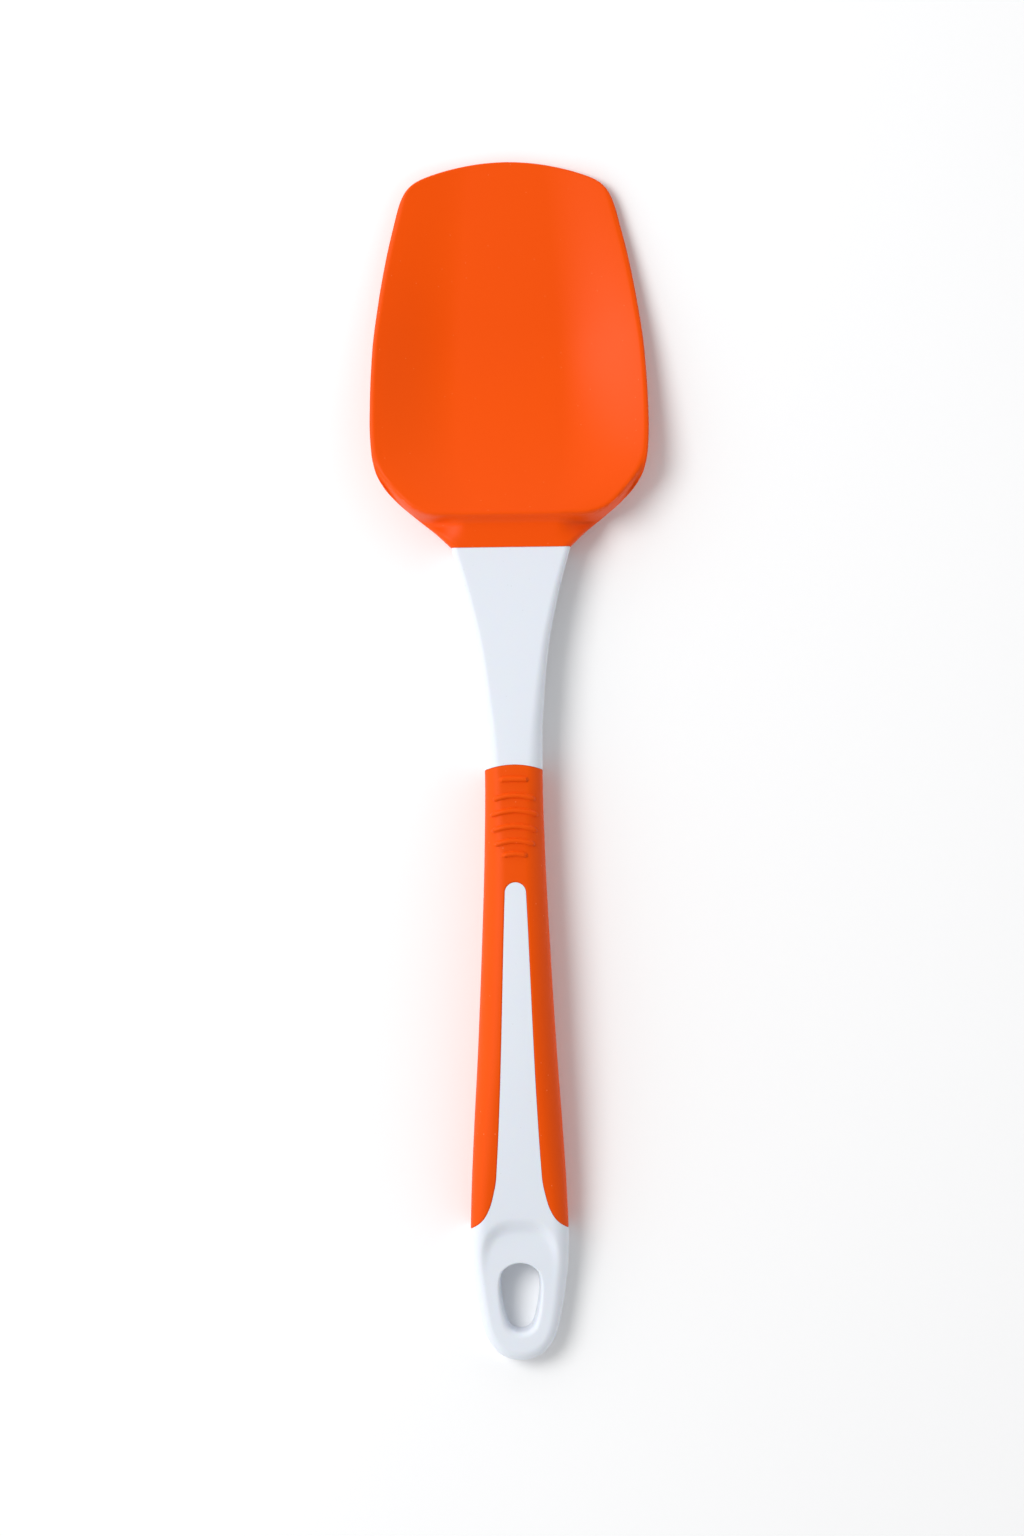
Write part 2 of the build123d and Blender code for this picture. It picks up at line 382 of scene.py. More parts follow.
class NodeKit:
    """Shader node groups that several finishes share, each built once."""

    @staticmethod
    def _group(name: str, inputs: dict[str, float],
               outputs: dict[str, str]) -> tuple[bpy.types.NodeTree, bpy.types.Node, bpy.types.Node]:
        """A new shader group with float inputs, named outputs and a coordinate input.

        Args:
            name: the group's name.
            inputs: float input names with their defaults.
            outputs: output names with their socket types.

        Returns:
            The group, its input node and its output node.
        """
        group = bpy.data.node_groups.new(name, "ShaderNodeTree")
        group.interface.new_socket("Place", in_out="INPUT", socket_type="NodeSocketVector")
        for label, default in inputs.items():
            socket = group.interface.new_socket(label, in_out="INPUT", socket_type="NodeSocketFloat")
            socket.default_value = default
        for label, kind in outputs.items():
            group.interface.new_socket(label, in_out="OUTPUT", socket_type=kind)
        return group, group.nodes.new("NodeGroupInput"), group.nodes.new("NodeGroupOutput")

    @classmethod
    def grain(cls) -> bpy.types.NodeTree:
        """Fine moulded grain: a height made of a tight and a wider noise."""
        existing = bpy.data.node_groups.get("moulded_grain")
        if existing:
            return existing
        group, entry, leave = cls._group(
            "moulded_grain", {"Fine Scale": 5000.0, "Wide Scale": 900.0, "Wide Share": 0.3},
            {"Height": "NodeSocketFloat"})
        fine = group.nodes.new("ShaderNodeTexNoise")
        fine.inputs["Detail"].default_value = 2.0
        wide = group.nodes.new("ShaderNodeTexNoise")
        wide.inputs["Detail"].default_value = 1.0
        mix = group.nodes.new("ShaderNodeMix")
        links = group.links
        for noise, label in ((fine, "Fine Scale"), (wide, "Wide Scale")):
            links.new(entry.outputs["Place"], noise.inputs["Vector"])
            links.new(entry.outputs[label], noise.inputs["Scale"])
        links.new(entry.outputs["Wide Share"], mix.inputs[0])
        links.new(fine.outputs["Fac"], mix.inputs[2])
        links.new(wide.outputs["Fac"], mix.inputs[3])
        links.new(mix.outputs[0], leave.inputs["Height"])
        return group

    @classmethod
    def drift(cls) -> bpy.types.NodeTree:
        """Slow cloudy change over a moulding, as a mask from 0 to 1."""
        existing = bpy.data.node_groups.get("tone_drift")
        if existing:
            return existing
        group, entry, leave = cls._group(
            "tone_drift", {"Scale": 30.0, "Contrast": 1.0}, {"Mask": "NodeSocketFloat"})
        noise = group.nodes.new("ShaderNodeTexNoise")
        noise.inputs["Detail"].default_value = 3.0
        centre = group.nodes.new("ShaderNodeMath")
        centre.operation = "SUBTRACT"
        centre.inputs[1].default_value = 0.5
        gain = group.nodes.new("ShaderNodeMath")
        gain.operation = "MULTIPLY_ADD"
        gain.inputs[2].default_value = 0.5
        gain.use_clamp = True
        links = group.links
        links.new(entry.outputs["Place"], noise.inputs["Vector"])
        links.new(entry.outputs["Scale"], noise.inputs["Scale"])
        links.new(noise.outputs["Fac"], centre.inputs[0])
        links.new(centre.outputs[0], gain.inputs[0])
        links.new(entry.outputs["Contrast"], gain.inputs[1])
        links.new(gain.outputs[0], leave.inputs["Mask"])
        return group

    @classmethod
    def dust(cls) -> bpy.types.NodeTree:
        """Sparse specks of dust, as a mask from 0 to 1."""
        existing = bpy.data.node_groups.get("dust_specks")
        if existing:
            return existing
        group, entry, leave = cls._group(
            "dust_specks", {"Scale": 420.0, "Speck Size": 0.09}, {"Mask": "NodeSocketFloat"})
        cells = group.nodes.new("ShaderNodeTexVoronoi")
        cells.inputs["Randomness"].default_value = 1.0
        speck = group.nodes.new("ShaderNodeMath")
        speck.operation = "LESS_THAN"
        links = group.links
        links.new(entry.outputs["Place"], cells.inputs["Vector"])
        links.new(entry.outputs["Scale"], cells.inputs["Scale"])
        links.new(cells.outputs["Distance"], speck.inputs[0])
        links.new(entry.outputs["Speck Size"], speck.inputs[1])
        links.new(speck.outputs[0], leave.inputs["Mask"])
        return group


@dataclass(frozen=True)
class MouldedFinish:
    """A moulded rubber or plastic surface: its colour, gloss, grain, drift and dust.

    Attributes:
        name: the material's name.
        colour: base colour.
        deep_colour: what the colour drifts to.
        dust_colour: colour of the dust specks.
        roughness: the two roughnesses that the surface drifts between.
        specular: strength of the mirror reflection.
        grain_scale: scale of the fine grain's noise.
        wide_scale: scale of the wider noise in the grain.
        grain_depth: height of the grain, in millimetres.
        drift_scale: scale of the slow drift.
        dust_size: size of the dust specks, as a share of their spacing.
        translucency: weight of the light that passes through the skin.
        drift_contrast: how strongly the drift swings between its ends.
        scatter_colour: how far red, green and blue pass through the skin, beside each other.
        scatter_depth: how far light passes through the skin, in millimetres.
    """

    name: str
    colour: tuple[float, float, float]
    deep_colour: tuple[float, float, float]
    dust_colour: tuple[float, float, float]
    roughness: tuple[float, float]
    specular: float
    grain_scale: float
    wide_scale: float
    grain_depth: float
    drift_scale: float
    dust_size: float
    translucency: float = 0.0
    drift_contrast: float = 1.6
    scatter_colour: tuple[float, float, float] = (1.0, 0.35, 0.12)
    scatter_depth: float = 1.2

    def material(self) -> bpy.types.Material:
        """Build the material, or return it if it exists.

        Returns:
            The node-based material.
        """
        existing = bpy.data.materials.get(self.name)
        if existing:
            return existing
        material = bpy.data.materials.new(self.name)
        material.use_nodes = True
        tree = material.node_tree
        shader = tree.nodes["Principled BSDF"]
        shader.inputs["Specular IOR Level"].default_value = self.specular
        shader.inputs["Subsurface Weight"].default_value = self.translucency
        shader.inputs["Subsurface Radius"].default_value = self.scatter_colour
        shader.inputs["Subsurface Scale"].default_value = self.scatter_depth * MM
        place = tree.nodes.new("ShaderNodeTexCoord").outputs["Object"]
        self._colour(tree, place, shader)
        self._relief(tree, place, shader)
        material.diffuse_color = (*self.colour, 1.0)
        return material

    def _placed(self, tree: bpy.types.NodeTree, group: bpy.types.NodeTree, place: bpy.types.NodeSocket,
                **values: float) -> bpy.types.Node:
        """Put a shared group in this material with its own values.

        Args:
            tree: the material's nodes.
            group: the shared group.
            place: where its coordinates come from.
            **values: its inputs by name, with underscores for spaces.

        Returns:
            The group's node.
        """
        node = tree.nodes.new("ShaderNodeGroup")
        node.node_tree = group
        tree.links.new(place, node.inputs["Place"])
        for label, value in values.items():
            node.inputs[label.replace("_", " ")].default_value = value
        return node

    def _colour(self, tree: bpy.types.NodeTree, place: bpy.types.NodeSocket, shader: bpy.types.Node) -> None:
        """Colour and roughness that drift slowly, with dust over the colour.

        Args:
            tree: the material's nodes.
            place: where the coordinates come from.
            shader: the shader that takes the colour and roughness.
        """
        drift = self._placed(
            tree, NodeKit.drift(), place, Scale=self.drift_scale, Contrast=self.drift_contrast)
        dust = self._placed(tree, NodeKit.dust(), place, Speck_Size=self.dust_size)
        tone = tree.nodes.new("ShaderNodeMix")
        tone.data_type = "RGBA"
        tone.inputs[6].default_value = (*self.colour, 1.0)
        tone.inputs[7].default_value = (*self.deep_colour, 1.0)
        dusty = tree.nodes.new("ShaderNodeMix")
        dusty.data_type = "RGBA"
        dusty.inputs[7].default_value = (*self.dust_colour, 1.0)
        rough = tree.nodes.new("ShaderNodeMapRange")
        rough.inputs["To Min"].default_value = self.roughness[0]
        rough.inputs["To Max"].default_value = self.roughness[1]
        tree.links.new(drift.outputs["Mask"], tone.inputs[0])
        tree.links.new(tone.outputs[2], dusty.inputs[6])
        tree.links.new(dust.outputs["Mask"], dusty.inputs[0])
        tree.links.new(dusty.outputs[2], shader.inputs["Base Color"])
        tree.links.new(drift.outputs["Mask"], rough.inputs["Value"])
        tree.links.new(rough.outputs["Result"], shader.inputs["Roughness"])

    def _relief(self, tree: bpy.types.NodeTree, place: bpy.types.NodeSocket, shader: bpy.types.Node) -> None:
        """Moulded grain as a bump.

        Args:
            tree: the material's nodes.
            place: where the coordinates come from.
            shader: the shader that takes the bumped normal.
        """
        grain = self._placed(
            tree, NodeKit.grain(), place, Fine_Scale=self.grain_scale, Wide_Scale=self.wide_scale)
        bump = tree.nodes.new("ShaderNodeBump")
        bump.inputs["Strength"].default_value = 1.0
        bump.inputs["Distance"].default_value = self.grain_depth * MM
        tree.links.new(grain.outputs["Height"], bump.inputs["Height"])
        tree.links.new(bump.outputs["Normal"], shader.inputs["Normal"])


class Finish(Enum):
    """The finishes of the spatula's mouldings."""

    SILICONE = MouldedFinish(
        name="satin_orange_silicone",
        colour=(0.87, 0.084, 0.0004), deep_colour=(0.85, 0.077, 0.0004), dust_colour=(0.9, 0.16, 0.04),
        roughness=(0.38, 0.44), specular=0.12, grain_scale=5200.0, wide_scale=1100.0, grain_depth=0.02,
        drift_scale=26.0, dust_size=0.05,
    )
    SOFT_TOUCH = MouldedFinish(
        name="soft_touch_orange",
        colour=(0.82, 0.084, 0.0005), deep_colour=(0.80, 0.077, 0.0005), dust_colour=(0.9, 0.18, 0.06),
        roughness=(0.44, 0.52), specular=0.1, grain_scale=4200.0, wide_scale=900.0, grain_depth=0.03,
        drift_scale=40.0, dust_size=0.06,
    )
    HANDLE = MouldedFinish(
        name="satin_white_handle",
        colour=(0.752, 0.79, 0.85), deep_colour=(0.742, 0.78, 0.845), dust_colour=(0.6, 0.62, 0.64),
        roughness=(0.36, 0.44), specular=0.2, grain_scale=3600.0, wide_scale=500.0, grain_depth=0.006,
        drift_scale=22.0, dust_size=0.035, translucency=0.1,
    )
    CORE = MouldedFinish(
        name="glass_filled_nylon",
        colour=(0.40, 0.37, 0.30), deep_colour=(0.30, 0.28, 0.23), dust_colour=(0.62, 0.6, 0.54),
        roughness=(0.45, 0.62), specular=0.4, grain_scale=2600.0, wide_scale=260.0, grain_depth=0.03,
        drift_scale=160.0, dust_size=0.07,
    )


def dress(piece: bpy.types.Object, finish: Finish) -> None:
    """Give every slot of a piece one finish.

    Args:
        piece: the piece, with or without material slots.
        finish: what it is dressed in.
    """
    material = finish.value.material()
    if not piece.material_slots:
        piece.data.materials.append(material)
    for slot in piece.material_slots:
        slot.material = material


# ------------------------------------------------------------------------------------------- scoop head

@dataclass(frozen=True)
class ScoopHead:
    """The silicone scoop: dish, rounded rim, shoulders, collar and the pocket for the blade.

    Attributes:
        centre: station of the poles that the skin's rays run out from.
        rear_rim: station of the rim across the scoop's rear.
        crest_inset: how far the rim's crest lies inside the outline.
        corner_inset: how much further in it lies behind the rear corners.
        corner_from: station where that starts.
        corner_length: how long it takes to build up.
        corner_blend: rounding of the crest where the sides meet the rear.
        crest_width: rounding over the crest.
        tip_rim: height of the rim at the tip.
        rear_rim_height: height of the rim at the rear.
        rim_power: how the rim climbs from the tip to the rear.
        collar_top: height of the collar at the neck.
        neck_underside: height of the collar's underside at the neck.
        inner_slope: steepness with which the outer slope is carried on inside the crest.
        side_slope: steepness of the skin outside the crest along the scoop's sides.
        apron_from: station where the sides start to turn into the collar.
        apron_length: how long that takes.
        ramp_share: share of the rear fall that is in the ramp just behind the crest.
        ramp_length: length of that ramp.
        shoulder_fall: how far the shoulders beside the neck fall below the collar.
        shoulder_run: how far outside the crest they take to fall.
        shoulder_from: distance from the middle plane where they start.
        shoulder_width: how far across they build up.
        shoulder_length: how far from the joint they build up.
        shoulder_end: station where they end.
        shoulder_fade: how long before that they fade.
        least_wall: thickness that they leave above the underside.
        wall_rounding: rounding where that thickness holds them up.
        floor_top: height of the dish's middle line in its flat part.
        floor_rise_from: station behind which the middle line climbs to the rear rim.
        floor_power: how it climbs.
        wall_start: how far across the sides start to rise, as a share of the half-width.
        wall_end: where they would be level again.
        back_rise_from: station behind which the back climbs to the neck's underside.
        back_rise_power: how it climbs.
        nose_rise_from: station past which the back lifts towards the tip.
        nose_rise: how far it lifts.
        back_power: how sharply the back turns up across the scoop.
        back_limit: how far out it keeps climbing, as a share of the half-width.
        back_spread: how far outside the outline the back would reach the rim's height.
        wing_length: how far from the joint the back's sides take to turn up.
        lip_radius: rounding of the outline's edge round the dish.
        collar_radius: rounding of that edge at the neck.
        collar_length: how long the rounding takes to change from one to the other.
        edge_share: the most of the skin's thickness that the rounding may take.
        crown_radius: radius of the tip's long arc.
        crown_reach: half-width where that arc ends.
        corner_fullness: how full the corner beside it is.
        side_top: station where the sides end and the corner starts.
        pocket_root: station, width, underside and top of the pocket behind the joint.
        pocket_nose: the same at its far end.
        pocket_gap: room round the blade.
        pocket_squareness: how square the pocket's section is.
        columns: rays round the skin.
        wall_rows: spans of the outline's edge wall.
    """

    centre: float = 232.0
    rear_rim: float = 197.2
    crest_inset: float = 0.6
    corner_inset: float = 1.6
    corner_from: float = 213.0
    corner_length: float = 11.0
    corner_blend: float = 3.0
    crest_width: float = 0.55
    tip_rim: float = 3.0
    rear_rim_height: float = 12.0
    rim_power: float = 1.6
    collar_top: float = 9.4
    neck_underside: float = 2.2
    inner_slope: float = 0.6
    side_slope: float = 0.4
    apron_from: float = 218.0
    apron_length: float = 14.0
    ramp_share: float = 0.74
    ramp_length: float = 2.4
    shoulder_fall: float = 6.0
    shoulder_run: float = 2.4
    shoulder_from: float = 10.5
    shoulder_width: float = 12.0
    shoulder_length: float = 7.0
    shoulder_end: float = 211.0
    shoulder_fade: float = 10.0
    least_wall: float = 1.3
    wall_rounding: float = 1.0
    floor_top: float = 1.9
    floor_rise_from: float = 240.0
    floor_power: float = 1.8
    wall_start: float = 0.38
    wall_end: float = 1.25
    back_rise_from: float = 236.0
    back_rise_power: float = 1.3
    nose_rise_from: float = 266.0
    nose_rise: float = 1.1
    back_power: float = 3.4
    back_limit: float = 1.2
    back_spread: float = 2.3
    wing_length: float = 20.0
    lip_radius: float = 0.45
    collar_radius: float = 1.5
    collar_length: float = 9.0
    edge_share: float = 0.48
    crown_radius: float = 53.0
    crown_reach: float = 18.45
    corner_fullness: float = 1.5
    side_top: float = 267.4
    pocket_root: tuple[float, float, float, float] = (JOINT - 1.0, 19.2, 3.5, 7.72)
    pocket_nose: tuple[float, float, float, float] = (214.5, 13.9, 3.4, 4.54)
    pocket_gap: float = 0.15
    pocket_squareness: float = 8.0
    columns: int = 420
    wall_rows: int = 4

    side = Profile(
        (JOINT, 13.9), (192.6, 17.05), (196.3, 21.6), (200.0, 26.0), (203.8, 29.4), (207.5, 31.3),
        (212.0, 32.2), (218.0, 32.5), (224.4, 32.38), (235.6, 31.75), (246.8, 30.25), (258.0, 28.15),
        (267.4, 25.85), (280.0, 22.6),
    )

    def half_width(self, station: float) -> float:
        """Half the width of the head's outline at a station."""
        side = self.side(station)
        if station <= self.side_top:
            return side
        if station <= self._crown_station():
            return self._corner(station)
        drop = max(LENGTH - station, 0.0)
        return math.sqrt(2 * self.crown_radius * drop - drop * drop)

    def _crown_station(self) -> float:
        """Station where the tip's long arc meets the corner arc."""
        radius = self.crown_radius
        return LENGTH - radius + math.sqrt(radius * radius - self.crown_reach * self.crown_reach)

    def _corner(self, station: float) -> float:
        """Half-width on the corner: a conic tangent to the side and to the tip's arc, found by halving."""
        step, halvings = 0.1, 30
        low, high = self.side_top, self._crown_station()
        start, end = self.side(low), self.crown_reach
        side_slope = (start - self.side(low - step)) / step
        crown_slope = (LENGTH - self.crown_radius - high) / end
        reach = (end - start - crown_slope * (high - low)) / (side_slope - crown_slope)
        apex_x, apex_station = start + side_slope * reach, low + reach
        early, late = 0.0, 1.0
        for _ in range(halvings):
            share = (early + late) / 2
            weights = ((1 - share) ** 2, 2 * self.corner_fullness * share * (1 - share), share ** 2)
            height = (weights[0] * low + weights[1] * apex_station + weights[2] * high) / sum(weights)
            early, late = (share, late) if height < station else (early, share)
        return (weights[0] * start + weights[1] * apex_x + weights[2] * end) / sum(weights)

    def rim(self, station: float) -> float:
        """Height of the rim at a station."""
        share = (LENGTH - station) / (LENGTH - self.rear_rim)
        return blend(self.tip_rim, self.rear_rim_height, min(max(share, 0.0), 1.0) ** self.rim_power)

    def floor(self, station: float) -> float:
        """Height of the dish's middle line."""
        share = (self.floor_rise_from - station) / (self.floor_rise_from - self.rear_rim)
        return blend(self.floor_top, self.rear_rim_height, min(max(share, 0.0), 1.0) ** self.floor_power)

    def back(self, station: float) -> float:
        """Height of the back's middle line."""
        share = max(self.back_rise_from - station, 0.0) / (self.back_rise_from - JOINT)
        nose = max(station - self.nose_rise_from, 0.0) / (LENGTH - self.nose_rise_from)
        return self.neck_underside * share ** self.back_rise_power + self.nose_rise * nose ** 2

    def crest_inset_at(self, station: float) -> float:
        """How far the rim's crest lies inside the outline: more behind the rear corners."""
        return self.crest_inset + self.corner_inset * ease((self.corner_from - station) / self.corner_length)

    def beyond_rim(self, x: float, station: float) -> float:
        """Signed distance outside the rim's crest."""
        step = 0.3
        crest = self.side(station) - self.crest_inset_at(station)
        slope = (self.side(station + step) - self.side(station - step)) / (2 * step)
        aside = (abs(x) - crest) / math.hypot(1.0, slope)
        return soft_max(aside, self.rear_rim - station, self.corner_blend)

    def top(self, x: float, station: float) -> float:
        """Height of the upper skin before its outer edge is rounded."""
        rim = self.rim(station)
        floor = self.floor(station)
        across = abs(x) / (self.side(station) - self.crest_inset_at(station))
        wall_width = self.wall_end - self.wall_start
        wall = ease((across - self.wall_start) / wall_width) / ease((1.0 - self.wall_start) / wall_width)
        dish = blend(floor, rim, wall)
        outside = self.beyond_rim(x, station)
        if outside < -self.corner_blend:
            return dish
        return soft_min(dish, self._outer_slope(outside, abs(x), station, rim), self.crest_width)

    def _outer_slope(self, outside: float, across: float, station: float, rim: float) -> float:
        """Height of the skin that falls away outside the rim's crest.

        Args:
            outside: distance outside the crest.
            across: distance from the middle plane.
            station: where along the tool.
            rim: height of the crest.

        Returns:
            The height, in millimetres.
        """
        if outside <= 0.0:
            return rim - outside * self.inner_slope
        rear = ease((self.apron_from - station) / self.apron_length)
        ramp = ease(0.5 + outside / self.ramp_length / 2) * 2 - 1
        apron = min(outside / (self.rear_rim - JOINT), 1.0)
        fall = (rim - self.collar_top) * blend(apron, ramp, self.ramp_share)
        collar = rim - blend(outside * self.side_slope, fall, rear)
        shoulder = ease((across - self.shoulder_from) / self.shoulder_width)
        shoulder *= ease((station - JOINT) / self.shoulder_length)
        shoulder *= ease((self.shoulder_end - station) / self.shoulder_fade)
        lowered = collar - self.shoulder_fall * shoulder * ease(outside / self.shoulder_run)
        least = self.underside(across, station) + self.least_wall
        return min(collar, soft_max(lowered, least, self.wall_rounding))

    def underside(self, x: float, station: float) -> float:
        """Height of the back skin before its outer edge is rounded."""
        back = self.back(station)
        wide = self.side(station) + self.back_spread
        wing = ease((station - JOINT) / self.wing_length)
        turn = min(abs(x) / wide, self.back_limit) ** self.back_power
        return back + (self.rim(station) - back) * turn * wing

    def edge_radius(self, station: float) -> float:
        """Rounding of the outline's edge: fine round the dish, full on the collar."""
        return blend(self.collar_radius, self.lip_radius, ease((station - JOINT) / self.collar_length))

    def build(self) -> bpy.types.Object:
        """Model the head and cut its pocket.

        Returns:
            The head, in place.
        """
        rays = self._rays()
        shares = self._shares()
        rows = 2 * (len(shares) - 1) + self.wall_rows

        def place(column: int, row: int) -> Vector:
            angle, reach = rays[column]
            if row < len(shares):
                return self._skin_point(angle, reach, shares[row], False)
            if row > rows - len(shares):
                return self._skin_point(angle, reach, shares[rows - row], True)
            low = self._skin_point(angle, reach, 1.0, False)
            high = self._skin_point(angle, reach, 1.0, True)
            return low.lerp(high, (row - len(shares) + 1) / self.wall_rows)

        piece = as_object(shaped_sphere(self.columns, rows, place), "scoop_silicone")
        carve(piece, self._pocket())
        return piece

    def _skin_point(self, angle: float, reach: float, share: float, upper: bool) -> Vector:
        """A point of the upper or lower skin on a ray from the poles.

        Args:
            angle: the ray's direction, from the tip's way round.
            reach: the ray's length to the outline.
            share: how far along the ray the point is.
            upper: which skin.

        Returns:
            The point's place.
        """
        x = math.sin(angle) * reach * share
        station = self.centre + math.cos(angle) * reach * share
        radius = self.edge_radius(station)
        top, under = self.top(x, station), self.underside(x, station)
        radius = min(radius, self.edge_share * (top - under))
        drop = edge_drop(self._edge_distance(x, station), radius)
        return at(x, station, top - drop if upper else under + drop)

    def _edge_distance(self, x: float, station: float) -> float:
        """Distance inside the outline, leaving out its straight end at the joint."""
        step = 0.4
        across = self.half_width(station) - abs(x)
        if across <= 0.0:
            return 0.0
        near = self.half_width(max(station - step, JOINT))
        far = self.half_width(min(station + step, LENGTH))
        slope = (far - near) / (2 * step)
        return across / math.sqrt(1.0 + slope * slope)

    def _rays(self) -> list[tuple[float, float]]:
        """Angle and length of each column's ray, with one ray on each corner of the collar."""
        corner = math.atan2(self.side(JOINT), JOINT - self.centre)
        angles = [math.tau * column / self.columns for column in range(self.columns)]
        for target in (corner, math.tau - corner):
            nearest = min(range(self.columns), key=lambda column: abs(angles[column] - target))
            angles[nearest] = target
        return [(angle, self._reach(angle)) for angle in angles]

    def _reach(self, angle: float) -> float:
        """Length of a ray from the poles to the outline, by halving."""
        halvings = 46
        inside, outside = 0.0, LENGTH / 4
        for _ in range(halvings):
            middle = (inside + outside) / 2
            station = self.centre + math.cos(angle) * middle
            held = JOINT <= station <= LENGTH and abs(math.sin(angle) * middle) <= self.half_width(station)
            inside, outside = (middle, outside) if held else (inside, middle)
        return inside

    def _shares(self) -> list[float]:
        """How far out each ring lies as a share of its ray, bunched towards the rim and the lip."""
        typical_reach, lip_spans = 36.0, 6
        rim_from, inner_spacing, rim_spacing = 0.78, 0.026, 0.0085
        lip_steps = reversed(rounding_steps(self.lip_radius * 1.25, lip_spans))
        lip = [1.0 - step / typical_reach for step in lip_steps]
        return [0.0] + spread(0.0, rim_from, inner_spacing) + spread(rim_from, lip[0], rim_spacing) + lip[1:]

    def _pocket(self) -> bpy.types.Object:
        """The cutter for the blade's slot: a flat tapering bar, from just behind the collar to its nose."""
        columns, rows, power = 48, 3, self.pocket_squareness

        def place(column: int, row: int) -> Vector:
            station, width, underside, top = self.pocket_root if row < 2 else self.pocket_nose
            middle = (underside + top) / 2
            if row in (0, rows):
                return at(0.0, station, middle)
            turn = math.tau * column / columns
            across, up = math.cos(turn), math.sin(turn)
            reach = max(abs(across) ** power + abs(up) ** power, 1e-6) ** (-1 / power)
            half_width = width / 2 + self.pocket_gap
            half_height = (top - underside) / 2 + self.pocket_gap
            return at(half_width * across * reach, station, middle + half_height * up * reach)

        return as_object(shaped_sphere(columns, rows, place), "pocket_cutter")


# ---------------------------------------------------------------------------------------------- handle

@dataclass(frozen=True)
class Handle:
    """The white moulding: neck, spine, tail plate with its thumb dish, and hanging eye.

    Attributes:
        tail_centre: station that the tail's round end turns about.
        tail_slope: how much the tail's end is drawn in beside a half circle.
        plate_end: station where the tail plate, and what the dish can reach, ends.
        end_rounding: rounding of the neck's end.
        eye_wide: station and radius of the eye's wide end.
        eye_narrow: station and radius of its narrow end.
        eye_middle: station of the poles of its cutter.
        eye_edge: rounding of its edges.
        eye_foot_edge: rounding of its upper edge at the narrow end.
        eye_draft: how much narrower it is at the underside.
        ceiling: height of the cutter's upper pole.
        cellar: height of its lower pole and lowest ring.
        clearance: how far its highest ring stands above the plate.
        dish_inset: how far the thumb dish lies inside the outline.
        dish_centre: station of its middle.
        dish_reach: how far it reaches towards the grip.
        dish_power: how square its outline is.
        dish_fade: where it starts to fade out, as a share of its reach.
        flat_spans: spans over half of each flat face.
        corner_spans: spans round each corner.
        side_spans: spans up each side.
        end_spans: rings round the neck's rounded end.
        tail_spans: rings round the tail's end.
        spine_spacing: distance between rings from the neck to the tail plate.
        plate_spacing: distance between rings on the tail plate.
    """

    tail_centre: float = 9.1
    tail_slope: float = 0.2
    plate_end: float = 42.0
    end_rounding: float = 0.28
    eye_wide: tuple[float, float] = (17.5, 5.4)
    eye_narrow: tuple[float, float] = (10.4, 3.7)
    eye_middle: float = 14.0
    eye_edge: float = 0.35
    eye_foot_edge: float = 1.5
    eye_draft: float = 0.45
    ceiling: float = 15.0
    cellar: float = -3.0
    clearance: float = 5.0
    dish_inset: float = 1.2
    dish_centre: float = 14.0
    dish_reach: float = 19.6
    dish_power: float = 3.0
    dish_fade: float = 0.8
    flat_spans: int = 14
    corner_spans: int = 12
    side_spans: int = 4
    end_spans: int = 5
    tail_spans: int = 26
    spine_spacing: float = 1.1
    plate_spacing: float = 0.5

    dish_depth = Profile(
        (4.0, 0.04), (14.0, 0.05), (20.0, 0.1), (24.0, 0.4), (27.5, 0.95), (31.0, 1.5), (36.0, 1.6),
    )

    def ring(self, section: Section) -> list[float]:
        """Path distances of one ring's right half, from the top's middle to the underside's."""
        flat, corner, side = section.runs()
        distances = [0.0]
        counts = (self.flat_spans, self.corner_spans, self.side_spans, self.corner_spans, self.flat_spans)
        for length, spans in zip((flat, corner, side, corner, flat), counts):
            start = distances[-1]
            distances += [start + length * step / spans for step in range(1, spans + 1)]
        return distances

    def rings(self) -> list[tuple[float, float, float]]:
        """Each ring from the neck's end to the tail: its station, how far it is grown, and its turn."""
        rings = [(JOINT - inset, -(self.end_rounding - rest), 0.0) for inset, rest in self._end_steps()]
        stations = spread(JOINT - self.end_rounding, self.plate_end, self.spine_spacing)
        stations += spread(self.plate_end, self.tail_centre, self.plate_spacing)
        rings += [(station, 0.0, 0.0) for station in stations]
        turns = [math.pi / 2 * step / self.tail_spans for step in range(1, self.tail_spans + 1)]
        return rings + [(self.tail_centre, 0.0, turn) for turn in turns]

    def _end_steps(self) -> list[tuple[float, float]]:
        """Quarter-round steps at the neck's end, as (back from the end, out from the face)."""
        angles = [math.pi / 2 * step / self.end_spans for step in range(self.end_spans + 1)]
        radius = self.end_rounding
        return [(radius * (1 - math.cos(angle)), radius * math.sin(angle)) for angle in angles]

    def dish(self, x: float, station: float) -> float:
        """How fully a point of the tail's top is in the thumb dish, from 0 to 1."""
        across = abs(x) / (OUTLINE.half_width(max(station, self.tail_centre)) - self.dish_inset)
        ahead = max(station - self.dish_centre, 0.0) / self.dish_reach
        ring = (across ** self.dish_power + ahead ** self.dish_power) ** (1 / self.dish_power)
        return 1.0 - ease((ring - self.dish_fade) / (1.0 - self.dish_fade))

    def plate_top(self, x: float, station: float, z: float) -> float:
        """Height of the tail's top once the thumb dish has lowered it from z."""
        floor = OUTLINE.top(max(station, self.tail_centre)) - self.dish_depth(station)
        return blend(z, min(floor, z), self.dish(x, station))

    def build(self, recess: bpy.types.Object) -> bpy.types.Object:
        """Model the handle.

        Args:
            recess: the closed shape of the grip's bed, which is cut out of the spine.

        Returns:
            The handle, in place.
        """
        rings = self.rings()
        half = self.flat_spans * 2 + self.corner_spans * 2 + self.side_spans
        sections = [OUTLINE.section(station) for station, _, _ in rings]
        paths = [self.ring(section) for section in sections]

